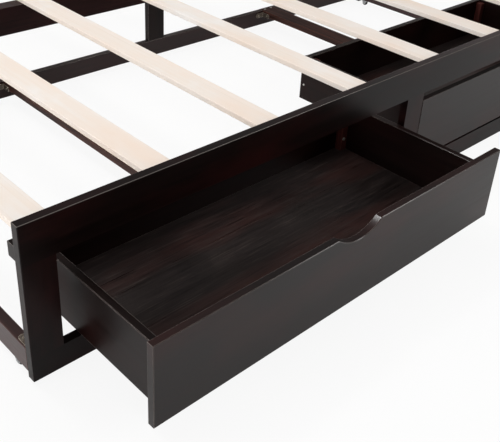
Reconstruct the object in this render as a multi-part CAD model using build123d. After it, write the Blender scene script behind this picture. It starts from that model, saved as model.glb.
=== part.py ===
from build123d import *
import os

os.makedirs("parts", exist_ok=True)

# Extendable platform bed with two drawers, drawn out to its full depth, left drawer open.
# X runs along the bed, Y from the front panel to the wall side, Z up from the floor.
# All sizes are in millimetres.

# Front panel
bed_length = 1980.0
panel_height = 312.0
panel_thickness = 18.0
panel_lift = 6.0
top_rail_height = 76.0
bottom_rail_height = 49.0
stile_width = 60.0
panel_ease = 1.5
board_ease = 1.0

# Depths of the two sections, from face to face
front_depth = 963.0
rear_depth = 982.0

# Slats and the ledgers that carry them
slat_width = 60.0
slat_thickness = 12.0
slat_count = 8
slat_drop = 47.0
end_slat_inset = 22.0
slat_overhang = 30.0
slat_end_gap = 1.0
ledger_height = 28.0
ledger_thickness = 23.0
ledger_end_gap = 2.0

# Base of the pull-out section
base_lift = 19.0
base_rail_height = 50.0
end_rail_thickness = 20.0
back_rail_thickness = 18.0
runner_width = 58.0
runner_thickness = 18.0
runner_outset = 12.0
post_width = 60.0
post_gap = 2.0

# Fixed section
fixed_rail_height = 76.0
fixed_rail_thickness = 20.0
backing_thickness = 19.0
side_rail_height = 123.0
side_rail_thickness = 20.0
rear_rail_thickness = 18.0
leg_width = 60.0
side_gap = 3.0
glide_gap = 0.3

# Drawers
drawer_drawn = 242.0
front_thickness = 15.0
front_side_gap = 2.5
front_bottom_gap = 5.0
front_top_gap = 20.0
box_overhang = 24.0
box_depth = 386.0
box_height = 120.0
box_thickness = 15.0
bottom_thickness = 6.0
bottom_rebate = 8.0
bottom_gap = 0.5
runner_gap = 0.5
block_size = 18.0
block_drop = 8.0
batten_width = 18.0
batten_height = 9.0
batten_gap = 2.0
batten_inset = 15.0
scoop_width = 114.0
scoop_depth = 21.0
scoop_shoulder = 6.0

# Casters
wheel_radius = 9.5
wheel_width = 9.0
wheel_rim_ease = 1.0
wheel_side_gap = 0.6
wheel_top_gap = 1.0
axle_radius = 2.0
axle_head_radius = 3.2
axle_head_height = 1.2
running_gap = 0.05
housing_wall = 1.5
housing_length = 26.0
cheek_radius = 6.0
mortise_gap = 0.2
caster_setback = 42.0

# Steel brackets
bracket_width = 15.0
bracket_leg = 32.0
bracket_thickness = 2.0
bracket_drop = 40.0

# Levels above the floor
panel_top = panel_lift + panel_height
opening_bottom = panel_lift + bottom_rail_height
opening_top = panel_top - top_rail_height
ledger_top = panel_top - slat_drop
base_top = base_lift + base_rail_height
runner_bottom = base_top - runner_thickness
fixed_top = ledger_top - glide_gap
fixed_bottom = fixed_top - fixed_rail_height
side_rail_bottom = panel_top - side_rail_height
box_bottom = base_top + runner_gap
box_top = box_bottom + box_height
floor_board_top = box_bottom + bottom_thickness

# Places along Y, with the drawn-out bed centred on the origin
bed_depth = front_depth + rear_depth
panel_face = (drawer_drawn - bed_depth) / 2
panel_back = panel_face + panel_thickness
fixed_face = panel_face + front_depth
backing_face = fixed_face + fixed_rail_thickness
backing_back = backing_face + backing_thickness
rear_outer = panel_face + bed_depth
rear_inner = rear_outer - rear_rail_thickness
base_end = fixed_face + back_rail_thickness

# Places along X
half_length = bed_length / 2
half_inside = half_length + side_gap
opening_width = (bed_length - 3 * stile_width) / 2
opening_centres = {
    "left": -(opening_width + stile_width) / 2,
    "right": (opening_width + stile_width) / 2,
}
slat_pitch = (bed_length - slat_width) / (slat_count - 1)
sides = {"left": -1, "right": 1}
runner_centres = {side: opening_centres[side] + sign * runner_outset for side, sign in sides.items()}


def board(x, y, z, size_x, size_y, size_z):
    """A board by its lowest corner and its three sizes."""
    return Pos(x, y, z) * Box(size_x, size_y, size_z, align=(Align.MIN, Align.MIN, Align.MIN))


def eased(shape, axis):
    """Takes the sharp arris off the edges that run along one axis."""
    return chamfer(shape.edges().filter_by(axis), board_ease)


def save(name, shape):
    """Writes one piece, or one group of loose pieces, to its own file."""
    whole = Compound(shape) if isinstance(shape, list) else shape
    export_step(whole, f"parts/{name}.step")


def end_x(side, inner, thickness):
    """Lowest X of a board that stands on one side of the bed, outwards from an inner face."""
    return inner if sides[side] > 0 else -inner - thickness


# Front panel: two rails over the full length, with three stiles between them


def panel_rail(bottom, height, outer_face):
    rail = board(-half_length, panel_face, bottom, bed_length, panel_thickness, height)
    long_edges = rail.faces().sort_by(Axis.Z)[outer_face].edges()
    end_edges = rail.edges().filter_by(Axis.Z)
    return fillet(long_edges + end_edges, panel_ease)


def panel_stile(left_edge):
    height = opening_top - opening_bottom
    return board(left_edge, panel_face, opening_bottom, stile_width, panel_thickness, height)


def outer_stile(side):
    stile = panel_stile(end_x(side, half_length - stile_width, stile_width))
    outer_edges = stile.edges().filter_by(Axis.Z).group_by(Axis.X)[-1 if sides[side] > 0 else 0]
    return fillet(outer_edges, panel_ease)


save("panel_top_rail", panel_rail(opening_top, top_rail_height, -1))
save("panel_bottom_rail", panel_rail(panel_lift, bottom_rail_height, 0))
save("panel_stile_middle", panel_stile(-stile_width / 2))
for side in sides:
    save(f"panel_stile_{side}", outer_stile(side))

# Ledgers and the two combs of slats that slide through each other


def ledger(y, top, half_span):
    piece = board(-half_span, y, top - ledger_height, 2 * half_span, ledger_thickness, ledger_height)
    return eased(piece, Axis.X)


def slat(centre_x, front, back, underside):
    piece = board(centre_x - slat_width / 2, front, underside, slat_width, back - front, slat_thickness)
    return eased(piece, Axis.Y)


pull_out_slat_end = backing_back + slat_overhang
save("front_ledger", ledger(panel_back, ledger_top, half_length - ledger_end_gap))
for number in range(slat_count):
    even_place = -half_length + slat_width / 2 + number * slat_pitch
    outermost = half_length - end_slat_inset - slat_width / 2
    centre = max(-outermost, min(outermost, even_place))
    save(f"pull_out_slat_{number + 1}", slat(centre, panel_back, pull_out_slat_end, ledger_top))

save("rear_ledger", ledger(rear_inner - ledger_thickness, fixed_top, half_inside))
for number in range(slat_count - 1):
    centre = -half_length + slat_width / 2 + (number + 0.5) * slat_pitch
    save(f"fixed_slat_{number + 1}", slat(centre, fixed_face, rear_inner - slat_end_gap, fixed_top))

# Base of the pull-out section: end rails on casters, back rail, post and drawer runners

housing_inside = wheel_width + 2 * wheel_side_gap
housing_width = housing_inside + 2 * housing_wall
housing_top = 2 * wheel_radius + wheel_top_gap + housing_wall
caster_places = {
    "front": panel_back + caster_setback,
    "rear": fixed_face - caster_setback,
}


def caster_x(side):
    return sides[side] * (half_length - end_rail_thickness / 2)


def base_end_rail(side):
    low_x = end_x(side, half_length - end_rail_thickness, end_rail_thickness)
    rail = board(low_x, panel_back, base_lift, end_rail_thickness, fixed_face - panel_back, base_rail_height)
    rail = eased(rail, Axis.Y)
    width = housing_width + 2 * mortise_gap
    length = housing_length + 2 * mortise_gap
    depth = housing_top - base_lift
    for y in caster_places.values():
        rail -= board(caster_x(side) - width / 2, y - length / 2, base_lift, width, length, depth)
    return rail


def base_back_rail():
    rail = board(-half_length, fixed_face, base_lift, bed_length, back_rail_thickness, base_rail_height)
    rail = eased(rail, Axis.X)
    for centre in runner_centres.values():
        low_x = centre - runner_width / 2
        rail -= board(low_x, fixed_face, runner_bottom, runner_width, back_rail_thickness, runner_thickness)
    return rail


def drawer_runner(side):
    low_x = runner_centres[side] - runner_width / 2
    runner = board(low_x, panel_back, runner_bottom, runner_width, base_end - panel_back, runner_thickness)
    upper_edges = runner.edges().filter_by(Axis.Y).group_by(Axis.Z)[-1]
    return chamfer(upper_edges, board_ease)


for side in sides:
    save(f"base_end_rail_{side}", base_end_rail(side))
    save(f"drawer_runner_{side}", drawer_runner(side))
save("base_back_rail", base_back_rail())
post_height = fixed_bottom - post_gap - base_top
post = board(-post_width / 2, fixed_face, base_top, post_width, back_rail_thickness, post_height)
save("middle_post", eased(post, Axis.Z))

# Casters: a pressed steel housing let into the end rail, an axle with two heads, and a wheel


def caster_housing():
    upper = Pos(0, (housing_top + base_lift) / 2) * Rectangle(housing_length, housing_top - base_lift)
    lower = Pos(0, wheel_radius) * Circle(cheek_radius)
    cheek = make_hull(upper.edges() + lower.edges())
    cheek -= Pos(0, wheel_radius) * Circle(axle_radius + running_gap)
    body = extrude(Plane.YZ * cheek, housing_width / 2, both=True)
    low_x, low_y = -housing_inside / 2, -housing_length / 2
    return body - board(low_x, low_y, 0, housing_inside, housing_length, housing_top - housing_wall)


def caster_axle():
    along_x = Location((0, 0, wheel_radius), (0, 90, 0))
    axle = Cylinder(axle_radius, housing_width)
    head_place = (housing_width + axle_head_height) / 2
    for end in (-1, 1):
        axle += Pos(0, 0, end * head_place) * Cylinder(axle_head_radius, axle_head_height)
    return along_x * axle


def caster_wheel():
    wheel = Cylinder(wheel_radius, wheel_width)
    wheel = chamfer(wheel.edges(), wheel_rim_ease)
    wheel -= Cylinder(axle_radius + running_gap, wheel_width)
    return Location((0, 0, wheel_radius), (0, 90, 0)) * wheel


caster_origins = {}
for end, y in caster_places.items():
    for side in sides:
        caster_origins[f"{end}_{side}"] = Pos(caster_x(side), y, 0)
save("caster_housings", [place * caster_housing() for place in caster_origins.values()])
save("caster_axles", [place * caster_axle() for place in caster_origins.values()])
for name, place in caster_origins.items():
    save(f"caster_wheel_{name}", place * caster_wheel())

# Fixed section: a front rail of two boards, rear rail, end rails and legs


def side_rail(side):
    low_x = end_x(side, half_inside, side_rail_thickness)
    rail = board(low_x, fixed_face, side_rail_bottom, side_rail_thickness, rear_depth, side_rail_height)
    return eased(rail, Axis.Y)


def leg(side, front):
    low_x = end_x(side, half_inside, side_rail_thickness)
    return eased(board(low_x, front, 0, side_rail_thickness, leg_width, side_rail_bottom), Axis.Z)


def cross_board(y, bottom, thickness, height):
    return eased(board(-half_inside, y, bottom, 2 * half_inside, thickness, height), Axis.X)


save("fixed_front_rail", cross_board(fixed_face, fixed_bottom, fixed_rail_thickness, fixed_rail_height))
save("fixed_backing_rail", cross_board(backing_face, fixed_bottom, backing_thickness, fixed_rail_height))
save("rear_rail", cross_board(rear_inner, side_rail_bottom, rear_rail_thickness, side_rail_height))
leg_fronts = {"front": fixed_face, "rear": rear_outer - leg_width}
for side in sides:
    save(f"fixed_end_rail_{side}", side_rail(side))
    for end, front in leg_fronts.items():
        save(f"leg_{end}_{side}", leg(side, front))

# Steel angle brackets with rounded legs, in the corners where rails and runners meet


def bracket_strip(length):
    """A flat leg along +Y from the origin, with a round end."""
    straight = length - bracket_width / 2
    outline = Pos(0, straight / 2) * Rectangle(bracket_width, straight)
    outline += Pos(0, straight) * Circle(bracket_width / 2)
    return extrude(outline, bracket_thickness)


def angle_bracket():
    """Legs along +Y and +Z, with the width along X."""
    lower = bracket_strip(bracket_leg)
    upper = Location((0, bracket_thickness, 0), (90, 0, 0)) * bracket_strip(bracket_leg)
    return lower + upper


def angle_at(x, y, z, width_along, second_leg_along):
    return Plane((x, y, z), x_dir=width_along, z_dir=second_leg_along).location * angle_bracket()


right, left = (1, 0, 0), (-1, 0, 0)
up, down = (0, 0, 1), (0, 0, -1)
base_middle = (base_lift + base_top) / 2
runner_bracket_level = runner_bottom + bracket_width / 4
base_inside = half_length - end_rail_thickness
pull_out_brackets = [
    angle_at(-base_inside, fixed_face, base_middle, up, right),
    angle_at(base_inside, fixed_face, base_middle, down, left),
]
for side, centre in runner_centres.items():
    pull_out_brackets += [
        angle_at(caster_x(side), panel_back, base_top, right, up),
        angle_at(centre, panel_back, runner_bottom, left, down),
        angle_at(centre - runner_width / 2, fixed_face, runner_bracket_level, down, left),
    ]
save("pull_out_brackets", pull_out_brackets)

bracket_level = fixed_top - bracket_drop
fixed_brackets = [
    angle_at(-half_inside, backing_back, bracket_level, down, right),
    angle_at(half_inside, backing_back, bracket_level, up, left),
    angle_at(-half_inside, rear_inner, bracket_level, up, right),
    angle_at(half_inside, rear_inner, bracket_level, down, left),
]
save("fixed_frame_brackets", fixed_brackets)

# Drawers, each on one runner a little outwards of its middle


def drawer_front(centre, face):
    width = opening_width - 2 * front_side_gap
    bottom = opening_bottom + front_bottom_gap
    top = opening_top - front_top_gap
    front = board(centre - width / 2, face, bottom, width, front_thickness, top - bottom)
    arc_radius = (scoop_width**2 / 4 + scoop_depth**2) / (2 * scoop_depth)
    arc_centre = top - scoop_depth + arc_radius
    front -= Location((centre, face + front_thickness / 2, arc_centre), (90, 0, 0)) * Cylinder(
        arc_radius, front_thickness
    )
    half = scoop_width / 2 + board_ease
    shoulders = front.edges().filter_by(Axis.Y).filter_by_position(Axis.X, centre - half, centre + half)
    front = fillet(shoulders, scoop_shoulder)
    faces = front.faces().filter_by(Axis.Y)
    return chamfer([edge for face_side in faces for edge in face_side.edges()], board_ease)


def drawer_side(outer, inward, front, back_end):
    """One side with a rebate along its lower inner edge for the bottom."""
    low_x = min(outer, outer + inward * box_thickness)
    panel = board(low_x, front, box_bottom, box_thickness, back_end - front, box_height)
    top_edges = panel.edges().filter_by(Axis.Y).group_by(Axis.Z)[-1]
    panel = chamfer(top_edges, board_ease)
    inner = outer + inward * box_thickness
    rebate_x = min(inner, inner - inward * bottom_rebate)
    return panel - board(rebate_x, front, box_bottom, bottom_rebate, back_end - front, bottom_thickness)


def drawer(side, drawn):
    name = f"{side}_drawer"
    centre = opening_centres[side]
    face = panel_face - drawn
    front = face + front_thickness
    back_end = front + box_depth
    half_box = opening_width / 2 - front_side_gap - box_overhang
    half_room = half_box - box_thickness
    save(f"{name}_front", drawer_front(centre, face))
    for end, sign in sides.items():
        save(f"{name}_side_{end}", drawer_side(centre + sign * half_box, -sign, front, back_end))

    wall_height = box_top - floor_board_top
    wall_face = back_end - box_thickness
    wall = board(centre - half_room, wall_face, floor_board_top, 2 * half_room, box_thickness, wall_height)
    save(f"{name}_back", chamfer(wall.edges().filter_by(Axis.X).group_by(Axis.Z)[-1], board_ease))

    half_floor = half_room + bottom_rebate - bottom_gap
    floor_board = board(centre - half_floor, front, box_bottom, 2 * half_floor, box_depth, bottom_thickness)
    save(f"{name}_bottom", floor_board)

    blocks = []
    for x in (centre - half_room, centre + half_room - block_size):
        for y in (front, wall_face - block_size):
            blocks.append(board(x, y, floor_board_top, block_size, block_size, wall_height - block_drop))
    save(f"{name}_corner_blocks", blocks)

    battens = []
    half_way = runner_width / 2 + batten_gap
    batten_bottom = box_bottom - batten_height
    length = box_depth - 2 * batten_inset
    for x in (runner_centres[side] - half_way - batten_width, runner_centres[side] + half_way):
        battens.append(board(x, front + batten_inset, batten_bottom, batten_width, length, batten_height))
    save(f"{name}_guide_battens", battens)


drawer("left", drawer_drawn)
drawer("right", 0)
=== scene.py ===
import math

import bmesh
import bpy
from mathutils import Matrix, Vector


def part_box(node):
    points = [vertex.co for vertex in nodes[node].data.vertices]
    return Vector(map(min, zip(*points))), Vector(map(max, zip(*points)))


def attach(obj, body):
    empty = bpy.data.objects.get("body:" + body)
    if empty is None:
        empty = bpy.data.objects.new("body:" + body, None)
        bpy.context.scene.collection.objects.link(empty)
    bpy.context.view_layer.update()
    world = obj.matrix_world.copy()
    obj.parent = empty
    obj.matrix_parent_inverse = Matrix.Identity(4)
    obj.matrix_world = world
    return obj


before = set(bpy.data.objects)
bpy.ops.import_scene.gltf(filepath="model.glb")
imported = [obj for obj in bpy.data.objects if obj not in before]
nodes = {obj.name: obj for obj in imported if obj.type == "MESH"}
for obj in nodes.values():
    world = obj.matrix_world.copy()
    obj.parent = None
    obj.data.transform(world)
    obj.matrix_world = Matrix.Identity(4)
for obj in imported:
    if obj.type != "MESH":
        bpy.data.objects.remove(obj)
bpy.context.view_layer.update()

# Looks of an extendable platform bed: espresso-stained boards, pale slats, two drawers and small
# casters. X runs along the bed, Y from the front panel to the wall side, Z up from the floor, all
# in metres.

MM = 0.001
scene = bpy.context.scene
scene.view_settings.view_transform = "Standard"


# Finishes


def linear(colour):
    """An sRGB hex colour as the linear numbers that a shader takes."""
    parts = [int(colour[at:at + 2], 16) / 255 for at in (1, 3, 5)]
    return [p / 12.92 if p <= 0.04045 else ((p + 0.055) / 1.055) ** 2.4 for p in parts] + [1.0]


def add(tree, kind, inputs=None, **settings):
    """Adds one node. An input is a value, or the output of another node that feeds it."""
    node = tree.nodes.new(kind)
    for name, value in settings.items():
        setattr(node, name, value)
    for name, value in (inputs or {}).items():
        if isinstance(value, bpy.types.NodeSocket):
            tree.links.new(value, node.inputs[name])
        else:
            node.inputs[name].default_value = value
    return node


def new_finish(name):
    """An empty material and its node tree."""
    finish = bpy.data.materials.new(name)
    finish.use_nodes = True
    finish.node_tree.nodes.clear()
    return finish, finish.node_tree


def coat(tree, pattern, smoothest, roughest, inputs, other_gloss=()):
    """Covers a surface with one shader, whose roughness follows a pattern. Places with a gloss of
    their own come as (amount, low, high, roughness): they get it as amount goes to high."""
    most_of_a_pattern = (0.3, 0.7)
    roughness = smoothest
    for amount, low, high, own_roughness in [(pattern, *most_of_a_pattern, roughest), *other_gloss]:
        spread = add(
            tree,
            "ShaderNodeMapRange",
            {
                "Value": amount,
                "From Min": low,
                "From Max": high,
                "To Min": roughness,
                "To Max": own_roughness,
            },
        )
        roughness = spread.outputs[0]
    shader = add(tree, "ShaderNodeBsdfPrincipled", {"Roughness": roughness, **inputs})
    add(tree, "ShaderNodeOutputMaterial", {"Surface": shader.outputs[0]})


def streaks(tree, axis, along, across, detail=4.0):
    """Grain drawn out along one axis, from the size of its streaks in millimetres.
    Every board takes its own place in the pattern."""
    size = [across * MM] * 3
    size["XYZ".index(axis)] = along * MM
    spread_of_boards = 60.0
    board = add(tree, "ShaderNodeObjectInfo")
    own_place = add(
        tree,
        "ShaderNodeMath",
        {0: board.outputs["Random"], 1: spread_of_boards},
        operation="MULTIPLY",
    )
    point = add(tree, "ShaderNodeTexCoord")
    drawn_out = add(
        tree,
        "ShaderNodeMapping",
        {"Vector": point.outputs["Object"], "Scale": [1 / length for length in size]},
    )
    noise = add(
        tree,
        "ShaderNodeTexNoise",
        {
            "Vector": drawn_out.outputs[0],
            "W": own_place.outputs[0],
            "Scale": 1.0,
            "Detail": detail,
            "Roughness": 0.55,
        },
        noise_dimensions="4D",
    )
    return noise.outputs[0]


def shade(tree, amount, low, high, under, over):
    """A colour that goes from under to over while amount goes from low to high."""
    spread = add(tree, "ShaderNodeMapRange", {"Value": amount, "From Min": low, "From Max": high})
    tones = [linear(tone) if isinstance(tone, str) else tone for tone in (under, over)]
    # By number, because the colour sockets share their names with the other kinds
    share, first_colour, second_colour, mixed_colour = 0, 6, 7, 2
    mixed = add(
        tree,
        "ShaderNodeMix",
        {share: spread.outputs[0], first_colour: tones[0], second_colour: tones[1]},
        data_type="RGBA",
    )
    return mixed.outputs[mixed_colour]


def arris(tree, width):
    """How far a point lies on a board's edge, 1 on flats and less on edges, and the normal of the
    rubbed-down edge. The width is in millimetres."""
    rubbed = add(tree, "ShaderNodeBevel", {"Radius": width * MM}, samples=6)
    surface = add(tree, "ShaderNodeNewGeometry")
    turn = add(
        tree,
        "ShaderNodeVectorMath",
        {0: rubbed.outputs[0], 1: surface.outputs["Normal"]},
        operation="DOT_PRODUCT",
    )
    return turn.outputs["Value"], rubbed.outputs[0]


def eased_edge(tree):
    """How far a point lies on a curve or rounded edge of the solid, 1 on flats and less on curves,
    so that a butt joint stays unseen. The second number counts only curves that face up, where
    the painted highlight goes. The normal and how far it points up come with them."""
    surface = add(tree, "ShaderNodeNewGeometry")
    normal = surface.outputs["Normal"]
    facing = add(tree, "ShaderNodeSeparateXYZ", {0: normal})
    turned = add(tree, "ShaderNodeVectorMath", {0: normal}, operation="ABSOLUTE")
    ways = add(tree, "ShaderNodeSeparateXYZ", {0: turned.outputs[0]})
    flat = ways.outputs["X"]
    for way in "YZ":
        larger = add(tree, "ShaderNodeMath", {0: flat, 1: ways.outputs[way]}, operation="MAXIMUM")
        flat = larger.outputs[0]
    not_up = add(
        tree,
        "ShaderNodeMapRange",
        {
            "Value": facing.outputs["Z"],
            "From Min": 0.05,
            "From Max": 0.3,
            "To Min": 1.0,
            "To Max": 0.0,
        },
    )
    flat_above = add(tree, "ShaderNodeMath", {0: flat, 1: not_up.outputs[0]}, operation="MAXIMUM")
    return flat, flat_above.outputs[0], normal, facing.outputs["Z"]


def espresso_lacquer(
    piece, axis, sheen, tones=("#0f0605", "#170b09", "#1e0a08"), flush=False, dull_top=False
):
    """Solid wood, stained espresso and sprayed with matt lacquer: nearly black red-brown, with a
    soft grey sheen where it mirrors pale surroundings, faint grain and redder clouds in the stain.
    Thin pale grey lines on the arrises are painted highlights. Curves and eased edges are sanded
    finer than the flats, so they catch small highlights. A top edge may get less lacquer than the
    rest and stay duller. The pores are drawn coarser than real, so that they show."""
    finish, tree = new_finish(f"espresso_lacquered_{piece}_{axis.lower()}")
    figure = streaks(tree, axis, 260, 9)
    pores = streaks(tree, axis, 22, 1.6, 2.0)
    clouds = streaks(tree, axis, 340, 120, 3.0)
    early_wood, late_wood, cloud = tones
    flat, flat_above, plain, facing_up = eased_edge(tree)
    edge, rubbed = (flat_above, plain) if flush else arris(tree, 1.3)
    stain = shade(tree, figure, 0.36, 0.66, early_wood, late_wood)
    stain = shade(tree, clouds, 0.48, 0.74, stain, cloud)
    stain = shade(tree, pores, 0.60, 0.74, stain, "#090404")
    # Painted highlight: a pale grey line on the arrises, on a flush panel only on curves that face
    # up
    stain = shade(tree, edge, 0.99, 0.86, stain, "#68625e" if flush else "#928984")
    grain = add(
        tree,
        "ShaderNodeBump",
        {"Height": pores, "Strength": 0.12, "Distance": 0.15 * MM, "Normal": rubbed},
    )
    sanded_curves = (flat, 0.97, 0.86, 0.19)
    thin_top = (facing_up, 0.8, 0.97, 0.85)
    lacquer = {
        "Base Color": stain,
        "IOR": 1.48,
        "Specular IOR Level": sheen,
        "Normal": grain.outputs[0],
    }
    other_gloss = [sanded_curves, thin_top] if dull_top else [sanded_curves]
    coat(tree, figure, 0.29, 0.37, lacquer, other_gloss)
    return finish


def red_brown_stain(piece, axis, sheen, smoothest, tones=("#260f0d", "#38191a"), figure_width=5):
    """Pine wiped with a thin mahogany stain under little or no lacquer: redder and lighter than the
    show wood, with the dark summer lines of the pine. Its pores, and the lines on far boards, are
    drawn wider than real, so that they show."""
    finish, tree = new_finish(f"red_brown_stained_pine_{piece}_{axis.lower()}")
    figure = streaks(tree, axis, 220, figure_width)
    pores = streaks(tree, axis, 30, 1.4, 2.0)
    edge, rubbed = arris(tree, 1.0)
    stain = shade(tree, figure, 0.36, 0.64, *tones)
    stain = shade(tree, pores, 0.58, 0.76, stain, "#2c1714")
    stain = shade(tree, edge, 0.995, 0.90, stain, "#7a5245")
    grain = add(
        tree,
        "ShaderNodeBump",
        {"Height": figure, "Strength": 0.2, "Distance": 0.2 * MM, "Normal": rubbed},
    )
    wiped_wood = {
        "Base Color": stain,
        "IOR": 1.48,
        "Specular IOR Level": sheen,
        "Normal": grain.outputs[0],
    }
    coat(tree, pores, smoothest, smoothest + 0.12, wiped_wood)
    return finish


def drawer_floor_print():
    """Thin fibreboard with a printed espresso wood grain under a satin film: grey-brown, with
    short fine dashes along the drawer and red-brown patches. The dashes are drawn wider than real,
    so that they show."""
    finish, tree = new_finish("printed_fibreboard")
    figure = streaks(tree, "X", 190, 6, 5.0)
    patches = streaks(tree, "X", 420, 110, 2.0)
    dashes = streaks(tree, "X", 70, 2.4, 3.0)
    print_tone = shade(tree, figure, 0.34, 0.68, "#1d1716", "#292221")
    print_tone = shade(tree, patches, 0.50, 0.68, print_tone, "#3b2421")
    print_tone = shade(tree, dashes, 0.45, 0.28, print_tone, "#3f3633")
    print_tone = shade(tree, dashes, 0.55, 0.70, print_tone, "#100b0a")
    relief = add(
        tree, "ShaderNodeBump", {"Height": dashes, "Strength": 0.09, "Distance": 0.1 * MM}
    )
    film = {
        "Base Color": print_tone,
        "IOR": 1.48,
        "Specular IOR Level": 0.38,
        "Normal": relief.outputs[0],
    }
    coat(tree, figure, 0.27, 0.35, film)
    return finish


def pale_slat_pine():
    """Planed pine, left raw: cream with faint straight grain, a few darker summer lines and rare
    brown flecks."""
    finish, tree = new_finish("planed_pine")
    figure = streaks(tree, "Y", 420, 8)
    lines = streaks(tree, "Y", 500, 2.6, 2.0)
    clouds = streaks(tree, "Y", 170, 85, 3.0)
    flecks = streaks(tree, "Y", 14, 2.2, 1.0)
    # Planing leaves the edges rubbed, but as pale as the flats
    rubbed = arris(tree, 1.0)[1]
    wood = shade(tree, figure, 0.34, 0.68, "#eee4db", "#ecdfd3")
    wood = shade(tree, clouds, 0.48, 0.70, wood, "#eedccd")
    wood = shade(tree, clouds, 0.46, 0.28, wood, "#efebe7")
    wood = shade(tree, lines, 0.62, 0.96, wood, "#d8c4b0")
    wood = shade(tree, flecks, 0.80, 0.86, wood, "#a07c5c")
    grain = add(
        tree,
        "ShaderNodeBump",
        {"Height": lines, "Strength": 0.2, "Distance": 0.2 * MM, "Normal": rubbed},
    )
    raw_wood = {"Base Color": wood, "IOR": 1.5, "Normal": grain.outputs[0]}
    coat(tree, figure, 0.55, 0.68, raw_wood)
    return finish


def plated_steel(name, bright, dull, rub_mark_and_rim_highlight, rim=0.4):
    """Pressed steel with a thin zinc plating: a soft metal shine with clouded patches and small rub
    marks. Its rims are painted lighter in the rub-mark colour, as a painted highlight."""
    finish, tree = new_finish(name)
    clouds = streaks(tree, "X", 9, 9, 3.0)
    rubs = streaks(tree, "Z", 5, 0.5, 2.0)
    edge, rubbed = arris(tree, rim)
    plating = shade(tree, clouds, 0.35, 0.68, dull, bright)
    plating = shade(tree, rubs, 0.60, 0.78, plating, rub_mark_and_rim_highlight)
    # Painted highlight: the rims take the pale rub-mark colour
    plating = shade(tree, edge, 0.99, 0.85, plating, rub_mark_and_rim_highlight)
    coat(tree, clouds, 0.34, 0.48, {"Base Color": plating, "Metallic": 1.0, "Normal": rubbed})
    return finish


def wheel_tyre_rubber():
    """Moulded hard rubber: dark grey, dull, with a little floor dust rubbed into its tread."""
    finish, tree = new_finish("moulded_rubber")
    dust = streaks(tree, "X", 3, 1.5, 3.0)
    edge, rubbed = arris(tree, 0.6)
    tread = shade(tree, dust, 0.4, 0.72, "#1d1d1e", "#2c2b2b")
    tread = shade(tree, edge, 0.99, 0.85, tread, "#4a4948")
    grip = add(
        tree,
        "ShaderNodeBump",
        {"Height": dust, "Strength": 0.2, "Distance": 0.1 * MM, "Normal": rubbed},
    )
    coat(tree, dust, 0.5, 0.66, {"Base Color": tread, "IOR": 1.52, "Normal": grip.outputs[0]})
    return finish


# The sheen falls with the lacquer: most on the drawer fronts and base rail, least in the drawers
face_tones = ("#0f0605", "#180b09", "#2c100d")
panel_tones = ("#0b0504", "#140807", "#2d100f")
red_tones = ("#1c0908", "#260e0d", "#2c100e")
drawer_face = espresso_lacquer("drawer_front", "X", 0.32, face_tones, dull_top=True)
flush_panel = {
    axis: espresso_lacquer("panel", axis, 0.17, panel_tones, flush=True) for axis in "XZ"
}
box_board = {axis: espresso_lacquer("board", axis, 0.17) for axis in "XYZ"}
drawer_back = espresso_lacquer("drawer_back", "X", 0.08)
base_rail = espresso_lacquer("base_rail", "X", 0.32, red_tones)
far_rail = {axis: espresso_lacquer("far_rail", axis, 0.12, red_tones) for axis in "XY"}

end_rail = red_brown_stain("rail", "Y", 0.6, 0.28)
runner_pine = red_brown_stain("runner", "Y", 0.2, 0.45, ("#20100e", "#4a2b22"), figure_width=11)
# The corner blocks take a lighter stain than the rails: painted light that makes up for the shade
# in the drawers' corners
corner_block = red_brown_stain("block", "Z", 0.3, 0.42, ("#45201c", "#5a2b26"))
drawer_floor = drawer_floor_print()
slat_pine = pale_slat_pine()

bracket_plating = plated_steel(
    "yellow_zinc_plated_steel", "#8d8378", "#544e47", "#e0d3c3", rim=1.2
)
caster_plating = plated_steel("bright_zinc_plated_steel", "#d8d9da", "#a9abad", "#eceded")
screw_plating = plated_steel("zinc_plated_screw_steel", "#dedcd8", "#b3b0aa", "#f0eeea")
tyre_rubber = wheel_tyre_rubber()


def grain_axis(name):
    """The longest side of a board is the way its grain runs."""
    low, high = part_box(name)
    size = high - low
    return "XYZ"[max(range(3), key=lambda way: size[way])]


def finish_of(name):
    """The finish that a CAD node takes, by its name."""
    if name.endswith("_brackets"):
        return bracket_plating
    if name.startswith("caster_wheel"):
        return tyre_rubber
    if name.startswith("caster_"):
        return caster_plating
    if "slat" in name:
        return slat_pine
    if name.endswith("_bottom"):
        return drawer_floor
    if "runner" in name or name.endswith("battens"):
        return runner_pine
    if name.startswith("base_end_rail"):
        return end_rail
    if name.endswith("_blocks"):
        return corner_block
    if name.endswith("_drawer_front"):
        return drawer_face
    if name.endswith("_drawer_back"):
        return drawer_back
    if name.startswith("panel_"):
        return flush_panel[grain_axis(name)]
    if name == "base_back_rail":
        return base_rail
    if name.startswith("fixed_end_rail") or name.endswith("_rail"):
        return far_rail[grain_axis(name)]
    return box_board[grain_axis(name)]


for name, node in nodes.items():
    for slot in node.material_slots:
        slot.material = finish_of(name)


# Screws: domed heads with a cross recess


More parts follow.
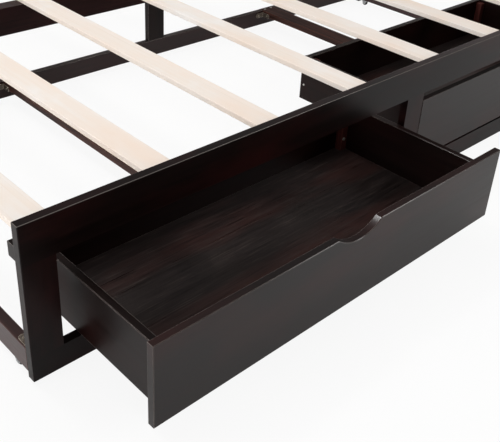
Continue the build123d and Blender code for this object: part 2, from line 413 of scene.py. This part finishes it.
def screw_head(shape, place, facing, radius):
    """Adds one head to a mesh, with its foot at a place on a surface and its top away from it.
    The measures are shares of its radius."""
    arm, half_arm = 0.62, 0.15
    recess_heights = (0.12, 0.52)
    dome_reaches_and_heights = ((0.8, 0.43), (0.97, 0.24), (1.0, 0.0))
    corner = [(arm, half_arm), (half_arm, half_arm), (half_arm, arm)]
    cross = []
    for quarter in range(4):
        turn = Matrix.Rotation(quarter * math.pi / 2, 2)
        cross += [turn @ Vector(point) for point in corner]
    recess = []
    for at, point in enumerate(cross):
        recess += [point, (point + cross[(at + 1) % len(cross)]) / 2]
    around = [point.normalized() for point in recess]
    loops = [[(p.x, p.y, height) for p in recess] for height in recess_heights]
    for reach, height in dome_reaches_and_heights:
        loops.append([(p.x * reach, p.y * reach, height) for p in around])
    stand = facing.to_track_quat("Z", "Y").to_matrix()
    rings = [
        [shape.verts.new(place + stand @ (Vector(p) * radius)) for p in loop] for loop in loops
    ]
    for inner, outer in zip(rings, rings[1:]):
        for at in range(len(inner)):
            after = (at + 1) % len(inner)
            shape.faces.new((inner[at], outer[at], outer[after], inner[after]))
    shape.faces.new(rings[0])
    shape.faces.new(list(reversed(rings[-1])))


def screws(name, body, places, radius, plating):
    """One piece that holds all the screws of one kind on one body. The radius is in millimetres."""
    shape = bmesh.new()
    for place, facing in places:
        screw_head(shape, Vector(place), Vector(facing), radius * MM)
    bmesh.ops.recalc_face_normals(shape, faces=shape.faces)
    mesh = bpy.data.meshes.new(name)
    shape.to_mesh(mesh)
    shape.free()
    piece = bpy.data.objects.new(name, mesh)
    scene.collection.objects.link(piece)
    mesh.materials.append(plating)
    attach(piece, body)


UP, DOWN = Vector((0, 0, 1)), Vector((0, 0, -1))
LEFT, RIGHT = Vector((-1, 0, 0)), Vector((1, 0, 0))
FRONT, BACK = Vector((0, -1, 0)), Vector((0, 1, 0))
SIDES = {"left": -1, "right": 1}

panel_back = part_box("panel_top_rail")[1].y
fixed_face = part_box("fixed_front_rail")[0].y
fixed_rail_middle = sum(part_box("fixed_front_rail"), Vector()).y / 2
backing_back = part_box("fixed_backing_rail")[1].y
rear_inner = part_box("rear_rail")[0].y
fixed_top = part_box("fixed_front_rail")[1].z
half_inside = -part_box("fixed_front_rail")[0].x
base_low, base_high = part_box("base_end_rail_right")
base_middle = (base_low.z + base_high.z) / 2
runners = {side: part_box(f"drawer_runner_{side}") for side in SIDES}

# Each bracket as its inner corner, the way its width runs and the way its second leg stands
bracket_drop, runner_bracket_rise = 40 * MM, 3.75 * MM
pull_out_corners = [
    ((-base_low.x, fixed_face, base_middle), UP, RIGHT),
    ((base_low.x, fixed_face, base_middle), DOWN, LEFT),
]
for side, (low, high) in runners.items():
    middle_x = (low.x + high.x) / 2
    end_rail_x = SIDES[side] * (base_low.x + base_high.x) / 2
    pull_out_corners += [
        ((end_rail_x, panel_back, base_high.z), RIGHT, UP),
        ((middle_x, panel_back, low.z), LEFT, DOWN),
        ((low.x, fixed_face, low.z + runner_bracket_rise), DOWN, LEFT),
    ]
bracket_height = fixed_top - bracket_drop
fixed_corners = [
    ((-half_inside, backing_back, bracket_height), DOWN, RIGHT),
    ((half_inside, backing_back, bracket_height), UP, LEFT),
    ((-half_inside, rear_inner, bracket_height), UP, RIGHT),
    ((half_inside, rear_inner, bracket_height), DOWN, LEFT),
]


def bracket_screws(corners):
    """One screw in each of a bracket's two legs."""
    thickness, reach = 2 * MM, 22 * MM
    places = []
    for corner, width, second in corners:
        first = second.cross(width)
        places.append((Vector(corner) + first * reach + second * thickness, second))
        places.append((Vector(corner) + second * reach + first * thickness, first))
    return places


def slat_screws(names, row_ys):
    """Two screws side by side in a slat, at each given distance along the bed's depth."""
    places = []
    for name in names:
        low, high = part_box(name)
        for y in row_ys:
            for share in (0.27, 0.73):
                places.append(((low.x + (high.x - low.x) * share, y, high.z), UP))
    return places


# Radii of the screws' heads in millimetres
bracket_head, runner_head, slat_head, block_head, side_head = 3.4, 4.2, 3.0, 4.6, 3.2

screws(
    "pull_out_bracket_screws",
    "pull_out",
    bracket_screws(pull_out_corners),
    bracket_head,
    bracket_plating,
)
screws(
    "fixed_bracket_screws",
    "fixed_frame",
    bracket_screws(fixed_corners),
    bracket_head,
    bracket_plating,
)

runner_screws = []
from_runner_end = 13.5 * MM
for low, high in runners.values():
    for share in (0.25, 0.75):
        x = low.x + (high.x - low.x) * share
        runner_screws.append(((x, high.y - from_runner_end, high.z), UP))
screws("runner_screws", "pull_out", runner_screws, runner_head, screw_plating)

ledger_middle = sum(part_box("front_ledger"), Vector()).y / 2
rear_ledger_middle = sum(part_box("rear_ledger"), Vector()).y / 2
pull_out_slats = sorted(name for name in nodes if name.startswith("pull_out_slat"))
fixed_slats = sorted(name for name in nodes if name.startswith("fixed_slat"))
screws(
    "pull_out_slat_screws",
    "pull_out",
    slat_screws(pull_out_slats, [ledger_middle]),
    slat_head,
    screw_plating,
)
screws(
    "fixed_slat_screws",
    "fixed_frame",
    slat_screws(fixed_slats, [fixed_rail_middle, rear_ledger_middle]),
    slat_head,
    screw_plating,
)

block = 18 * MM
from_block_side, over_drawer_floor = block * 0.6, 30 * MM
over_side_foot, under_side_top, from_side_back = 42 * MM, 22 * MM, 12 * MM
for drawer in ("left_drawer", "right_drawer"):
    floor_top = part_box(f"{drawer}_bottom")[1].z
    room_low, room_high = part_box(f"{drawer}_corner_blocks")
    side_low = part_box(f"{drawer}_side_left")[0]
    side_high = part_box(f"{drawer}_side_right")[1]
    places = []
    z = floor_top + over_drawer_floor
    for x in (room_low.x + from_block_side, room_high.x - from_block_side):
        places.append(((x, room_high.y - block, z), FRONT))
        places.append(((x, room_low.y + block, z), BACK))
    screws(f"{drawer}_block_screws", drawer, places, block_head, screw_plating)
    places = []
    y = side_high.y - from_side_back
    for z in (side_low.z + over_side_foot, side_high.z - under_side_top):
        places.append(((side_low.x, y, z), LEFT))
        places.append(((side_high.x, y, z), RIGHT))
    screws(f"{drawer}_side_screws", drawer, places, side_head, screw_plating)


# Floor, light and camera


def white_to_the_eye(tree, mirrored):
    """1 for rays from the camera and through glass, a share for mirrored rays, 0 for those that
    light the object."""
    path = add(tree, "ShaderNodeLightPath")
    seen = add(
        tree,
        "ShaderNodeMath",
        {0: path.outputs["Is Glossy Ray"], 1: mirrored, 2: path.outputs["Is Camera Ray"]},
        operation="MULTIPLY_ADD",
    )
    seen = add(
        tree,
        "ShaderNodeMath",
        {0: seen.outputs[0], 1: path.outputs["Is Transmission Ray"]},
        operation="ADD",
        use_clamp=True,
    )
    return seen.outputs[0]


# Matt paper that is white to the eye, but keeps a tenth of the depth of the object's shadows. Its
# fibres are drawn coarser than real, so that they show.
paper, tree = new_finish("white_studio_paper")
fibre = streaks(tree, "X", 4, 4)
pulp = shade(tree, fibre, 0.3, 0.7, "#f2f2f1", "#f7f7f6")
matt = add(tree, "ShaderNodeBsdfDiffuse", {"Color": pulp})
glow = add(tree, "ShaderNodeEmission", {"Color": linear("#ffffff"), "Strength": 1.0})
mirrored_share, glowing_share = 0.25, 0.9
share = add(
    tree,
    "ShaderNodeMath",
    {0: white_to_the_eye(tree, mirrored_share), 1: glowing_share},
    operation="MULTIPLY",
)
lit_paper = add(
    tree, "ShaderNodeMixShader", {0: share.outputs[0], 1: matt.outputs[0], 2: glow.outputs[0]}
)
add(tree, "ShaderNodeOutputMaterial", {"Surface": lit_paper.outputs[0]})

floor_mesh = bpy.data.meshes.new("studio_floor")
reach, below = 9.0, -0.5 * MM
corners = [(-reach, -reach), (reach, -reach), (reach, reach), (-reach, reach)]
floor_mesh.from_pydata([(x, y, below) for x, y in corners], [], [(0, 1, 2, 3)])
floor_mesh.materials.append(paper)
floor = bpy.data.objects.new("studio_floor", floor_mesh)
scene.collection.objects.link(floor)

# A room that is white at eye level and dims towards the ceiling, as a studio does
studio = bpy.data.worlds.new("studio")
scene.world = studio
studio.use_nodes = True
tree = studio.node_tree
tree.nodes.clear()
direction = add(tree, "ShaderNodeTexCoord")
height = add(tree, "ShaderNodeSeparateXYZ", {0: direction.outputs["Generated"]})
backdrop = shade(tree, height.outputs["Z"], 0.18, 0.42, "#ffffff", "#5a5a5a")
walls = add(tree, "ShaderNodeBackground", {"Color": backdrop, "Strength": 1.0})
fill = add(tree, "ShaderNodeBackground", {"Color": linear("#ffffff"), "Strength": 0.42})
room = add(
    tree,
    "ShaderNodeMixShader",
    {0: white_to_the_eye(tree, 1.0), 1: fill.outputs[0], 2: walls.outputs[0]},
)
add(tree, "ShaderNodeOutputWorld", {"Surface": room.outputs[0]})


def softbox(name, place, target, side, watts):
    """A square soft lamp that points at a target."""
    lamp = bpy.data.lights.new(name, "AREA")
    lamp.shape = "SQUARE"
    lamp.size = side
    lamp.energy = watts
    holder = bpy.data.objects.new(name, lamp)
    holder.location = place
    aim = Vector(target) - Vector(place)
    holder.rotation_euler = aim.to_track_quat("-Z", "Y").to_euler()
    scene.collection.objects.link(holder)


softbox("softbox_over_the_bed", (-0.7, -0.1, 2.7), (-0.1, -0.4, 0.2), side=2.0, watts=25)
softbox(
    "small_softbox_at_the_back", (-1.15, 0.14, 2.44), (-0.45, -1.0, 0.2), side=0.3, watts=11
)
softbox("softbox_at_the_front", (1.9, -3.0, 1.9), (0, -0.8, 0.2), side=0.9, watts=32)
softbox("softbox_at_the_left", (-6.08, 0.5, 1.13), (-0.3, -0.2, 0.25), side=2.1, watts=160)

# The camera stands at the front left and looks down on the open drawer
camera_data = bpy.data.cameras.new("camera")
camera_data.lens = 57.03
camera_data.sensor_width = 36.0
camera_data.shift_y = -0.12
camera = bpy.data.objects.new("camera", camera_data)
eye = (-1.41674, -1.74772, 0.99496)
turn, tilt, roll = math.radians(45.034), math.radians(30.097), math.radians(3.497)
ahead = Vector(
    (math.sin(turn) * math.cos(tilt), math.cos(turn) * math.cos(tilt), -math.sin(tilt))
)
level_right = Vector((math.cos(turn), -math.sin(turn), 0))
level_up = level_right.cross(ahead)
right = level_right * math.cos(roll) + level_up * math.sin(roll)
up = level_up * math.cos(roll) - level_right * math.sin(roll)
looking = Matrix((right, up, -ahead)).transposed().to_4x4()
camera.matrix_world = Matrix.Translation(eye) @ looking
scene.collection.objects.link(camera)
scene.camera = camera
